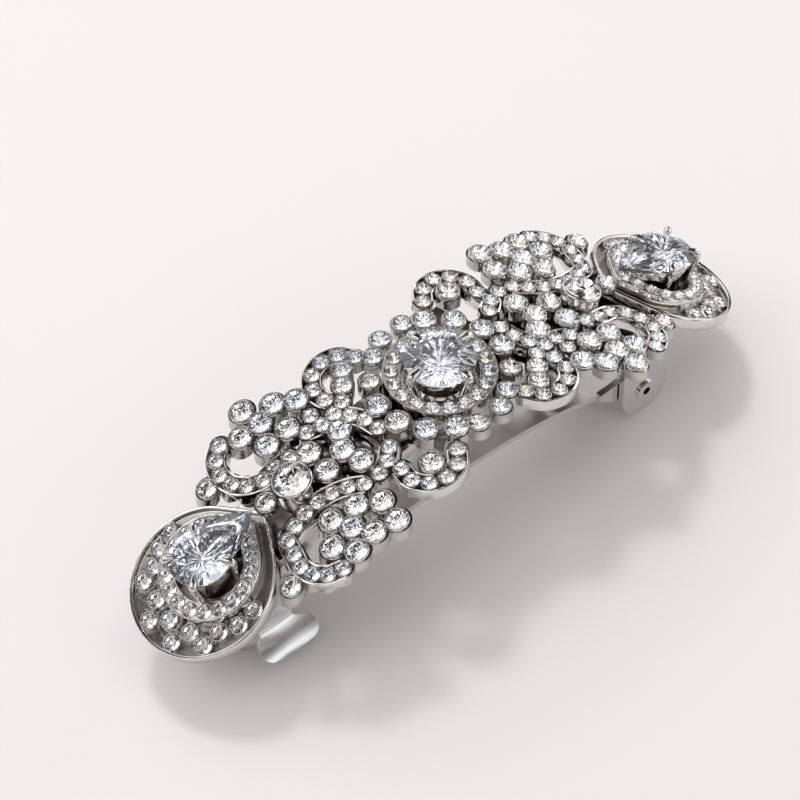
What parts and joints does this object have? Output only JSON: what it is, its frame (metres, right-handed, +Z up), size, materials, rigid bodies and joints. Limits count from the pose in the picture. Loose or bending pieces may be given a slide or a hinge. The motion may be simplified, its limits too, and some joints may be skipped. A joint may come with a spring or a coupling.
{
  "type": "rhinestone hair clip",
  "caption": "Arched silver barrette with a pierced scrollwork ornament set with clear stones, teardrop ends, and a hinged spring clasp.",
  "frame": {"origin": "middle of the surface the clip stands on, under the centre stone", "axes": "+X from the catch to the hinge, along the clip; +Y across it; +Z up through the centre stone"},
  "size_m": [0.0868, 0.0274, 0.025],
  "materials": {
    "plated_casting": "bright rhodium-plated casting",
    "clasp_steel": "plated pressed sheet, polished",
    "spring_steel": "satin spring sheet",
    "rhinestone": "foiled brilliant-cut crystal",
    "cubic_zirconia": "clear brilliant-cut stone with a faint violet fire"
  },
  "bodies": {
    "ornament": {"base_bar": "clasp_steel", "catch_plate": "spring_steel", "catch_rivet": "clasp_steel", "hinge_pin": "clasp_steel", "solder_posts": "clasp_steel", "near_teardrop_dish": "plated_casting", "far_teardrop_dish": "plated_casting", "near_halo_tier": "plated_casting", "far_halo_tier": "plated_casting", "near_pear_setting": "plated_casting", "far_pear_setting": "plated_casting", "near_pear_stone": "cubic_zirconia", "far_pear_stone": "cubic_zirconia", "near_scrollwork": "plated_casting", "far_scrollwork": "plated_casting", "near_bezel_cup": "plated_casting", "far_bezel_cup": "plated_casting", "near_bezel_stone": "rhinestone", "far_bezel_stone": "rhinestone", "centre_halo_ring": "plated_casting", "centre_setting": "plated_casting", "centre_stone": "cubic_zirconia", "near_halo_stones": "rhinestone", "far_halo_stones": "rhinestone", "near_crescent_stones": "rhinestone", "far_crescent_stones": "rhinestone", "near_pave_stones": "rhinestone", "far_pave_stones": "rhinestone", "near_flower_stones": "rhinestone", "far_flower_stones": "rhinestone", "near_bud_stones": "rhinestone", "far_bud_stones": "rhinestone", "centre_halo_stones": "rhinestone"},
    "arm": {"clasp_arm": "clasp_steel"},
    "near_catch": {"near_wing": "spring_steel"},
    "far_catch": {"far_wing": "spring_steel"},
    "leaf": {"tension_spring": "spring_steel"}
  },
  "joints": [
    {"name": "arm_swing", "type": "hinge", "parent": "ornament", "child": "arm", "pos_m": [0.027, 0, 0.0035], "axis": [0, -1, 0], "range_deg": [0, 80]},
    {"name": "near_wing_pinch", "type": "hinge", "parent": "ornament", "child": "near_catch", "pos_m": [-0.0296, -0.0051, 0.0117], "axis": [1, 0, 0], "range_deg": [0, 3], "stiffness_Nm_per_rad": 0.02},
    {"name": "far_wing_pinch", "type": "hinge", "parent": "ornament", "child": "far_catch", "pos_m": [-0.0296, 0.0051, 0.0117], "axis": [-1, 0, 0], "range_deg": [0, 3], "stiffness_Nm_per_rad": 0.02},
    {"name": "leaf_press", "type": "slide", "parent": "ornament", "child": "leaf", "axis": [0, 0, 1], "range_m": [0, 0.001], "stiffness_N_per_m": 300}
  ],
  "couplings": [
    {"joint": "far_wing_pinch", "follows": "near_wing_pinch", "ratio": 1}
  ]
}
